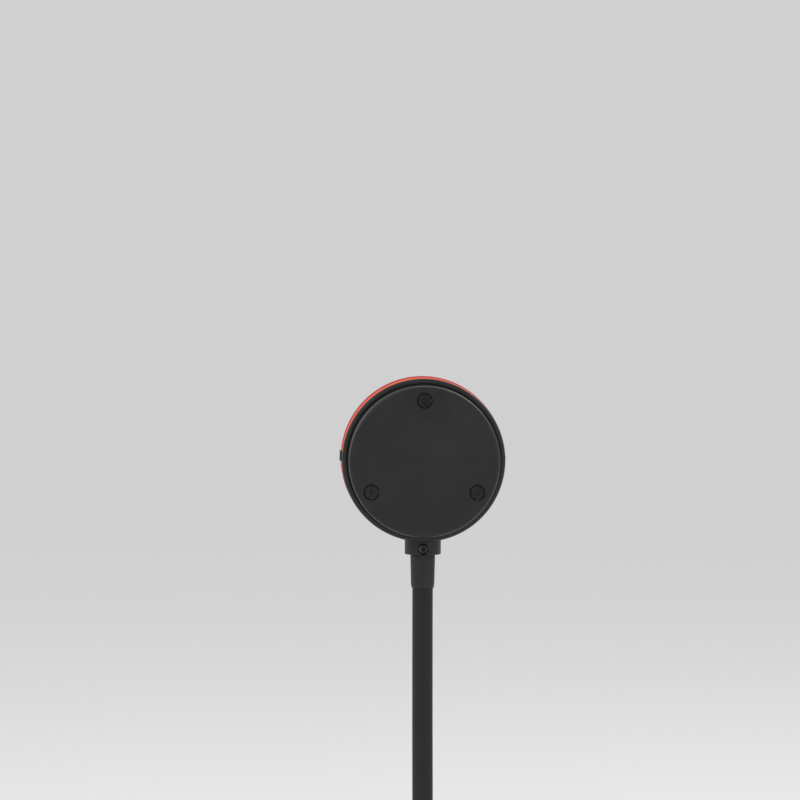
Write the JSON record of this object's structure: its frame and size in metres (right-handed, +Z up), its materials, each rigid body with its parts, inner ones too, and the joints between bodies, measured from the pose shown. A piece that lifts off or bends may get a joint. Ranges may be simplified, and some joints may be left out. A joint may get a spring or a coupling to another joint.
{
  "type": "projection lamp",
  "caption": "Small round projection lamp: a black puck head with a thick glass lens on a flexible neck, over a weighted round base with a push button.",
  "frame": {"origin": "centre of the round face that the lamp rests on", "axes": "+Z up; -Y is the way the lens looks as the lamp stands; +Y is the rear, with the power socket"},
  "size_m": [0.088, 0.0917, 0.2608],
  "materials": {
    "head_metal": "black anodised, satin, finely turned",
    "base_coat": "fine black powder coat",
    "sleeve": "matte silicone",
    "boot": "matte moulded rubber",
    "hose_steel": "bright wound steel",
    "fastener": "black oxide",
    "plain_steel": "zinc plated",
    "clip_steel": "blackened spring steel",
    "iron": "rough cast",
    "lens_glass": "polished clear",
    "filter_glass": "dichroic coated",
    "baffle_plastic": "matte black",
    "gasket_rubber": "matte",
    "led_laminate": "white solder mask",
    "phosphor": "silicone dome",
    "thermal": "soft pad",
    "lead_insulation_red": "PVC",
    "lead_insulation_black": "PVC",
    "laminate": "green solder mask",
    "chip_plastic": "matte",
    "button_plastic": "fine texture",
    "foot_rubber": "non-slip"
  },
  "bodies": {
    "base": {"base_cover": "base_coat", "ballast": "iron", "base_plate": "plain_steel", "base_screws": "plain_steel", "foot_pad": "foot_rubber", "control_board": "laminate", "board_screws": "plain_steel", "board_parts": "chip_plastic", "power_socket": "plain_steel", "switch": "chip_plastic", "neck_nut": "plain_steel", "neck_washer": "plain_steel", "lower_ferrule": "head_metal", "lower_boot": "boot", "neck_sleeve_01": "sleeve", "neck_hose_01": "hose_steel", "lead_red": "lead_insulation_red", "lead_black": "lead_insulation_black"},
    "neck_link_1": {"neck_sleeve_02": "sleeve", "neck_hose_02": "hose_steel"},
    "neck_link_2": {"neck_sleeve_03": "sleeve", "neck_hose_03": "hose_steel"},
    "neck_link_3": {"neck_sleeve_04": "sleeve", "neck_hose_04": "hose_steel"},
    "neck_link_4": {"neck_sleeve_05": "sleeve", "neck_hose_05": "hose_steel"},
    "neck_link_5": {"neck_sleeve_06": "sleeve", "neck_hose_06": "hose_steel"},
    "neck_link_6": {"neck_sleeve_07": "sleeve", "neck_hose_07": "hose_steel"},
    "neck_link_7": {"neck_sleeve_08": "sleeve", "neck_hose_08": "hose_steel"},
    "neck_link_8": {"neck_sleeve_09": "sleeve", "neck_hose_09": "hose_steel"},
    "neck_link_9": {"neck_sleeve_10": "sleeve", "neck_hose_10": "hose_steel"},
    "head": {"housing": "head_metal", "heat_sink": "head_metal", "sink_screws": "fastener", "thermal_pad": "thermal", "led_board": "led_laminate", "led_screws": "plain_steel", "led_emitter": "phosphor", "baffle": "baffle_plastic", "filter_gasket": "gasket_rubber", "color_filter": "filter_glass", "lens": "lens_glass", "lens_clips": "clip_steel", "clip_screws": "fastener", "collar": "head_metal", "collar_screw": "fastener", "upper_ferrule": "plain_steel", "upper_boot": "boot", "neck_sleeve_11": "sleeve", "neck_hose_11": "hose_steel"},
    "button": {"button": "button_plastic"}
  },
  "joints": [
    {"name": "lower_bend", "type": "hinge", "parent": "base", "child": "neck_link_1", "pos_m": [0, 0, 0.0375], "axis": [1, 0, 0], "range_deg": [-20, 20], "deforming": ["lead_red", "lead_black"]},
    {"name": "lower_sway", "type": "hinge", "parent": "neck_link_1", "child": "neck_link_2", "pos_m": [0, -0.00222, 0.05435], "axis": [0, 0.9914, 0.1305], "range_deg": [-20, 20], "deforming": ["lead_red", "lead_black"]},
    {"name": "lower_bend_2", "type": "hinge", "parent": "neck_link_2", "child": "neck_link_3", "pos_m": [0, -0.00444, 0.07121], "axis": [1, 0, 0], "range_deg": [-20, 20], "deforming": ["lead_red", "lead_black"]},
    {"name": "lower_sway_2", "type": "hinge", "parent": "neck_link_3", "child": "neck_link_4", "pos_m": [0, -0.00826, 0.08777], "axis": [0, 0.9744, 0.2248], "range_deg": [-20, 20], "deforming": ["lead_red", "lead_black"]},
    {"name": "middle_bend", "type": "hinge", "parent": "neck_link_4", "child": "neck_link_5", "pos_m": [0, -0.01208, 0.10434], "axis": [1, 0, 0], "range_deg": [-20, 20], "deforming": ["lead_red", "lead_black"]},
    {"name": "middle_bend_2", "type": "hinge", "parent": "neck_link_5", "child": "neck_link_6", "pos_m": [0, -0.01648, 0.12076], "axis": [1, 0, 0], "range_deg": [-20, 20], "deforming": ["lead_red", "lead_black"]},
    {"name": "upper_sway", "type": "hinge", "parent": "neck_link_6", "child": "neck_link_7", "pos_m": [0, -0.0203, 0.13732], "axis": [0, 0.9744, 0.2248], "range_deg": [-20, 20], "deforming": ["lead_red", "lead_black"]},
    {"name": "upper_bend", "type": "hinge", "parent": "neck_link_7", "child": "neck_link_8", "pos_m": [0, -0.02412, 0.15389], "axis": [1, 0, 0], "range_deg": [-20, 20], "deforming": ["lead_red", "lead_black"]},
    {"name": "upper_sway_2", "type": "hinge", "parent": "neck_link_8", "child": "neck_link_9", "pos_m": [0, -0.02634, 0.17074], "axis": [0, 0.9914, 0.1305], "range_deg": [-20, 20], "deforming": ["lead_red", "lead_black"]},
    {"name": "upper_bend_2", "type": "hinge", "parent": "neck_link_9", "child": "head", "pos_m": [0, -0.02856, 0.1876], "axis": [1, 0, 0], "range_deg": [-20, 20], "deforming": ["lead_red", "lead_black"]},
    {"name": "button_press", "type": "slide", "parent": "base", "child": "button", "axis": [0, 0, 1], "range_m": [-0.0006, 0], "stiffness_N_per_m": 1500, "springref_m": 0.0003}
  ],
  "couplings": [
    {"joint": "lower_bend_2", "follows": "lower_bend", "ratio": 1},
    {"joint": "lower_sway_2", "follows": "lower_sway", "ratio": 1},
    {"joint": "middle_bend_2", "follows": "middle_bend", "ratio": 1},
    {"joint": "upper_sway_2", "follows": "upper_sway", "ratio": 1},
    {"joint": "upper_bend_2", "follows": "upper_bend", "ratio": 1}
  ]
}
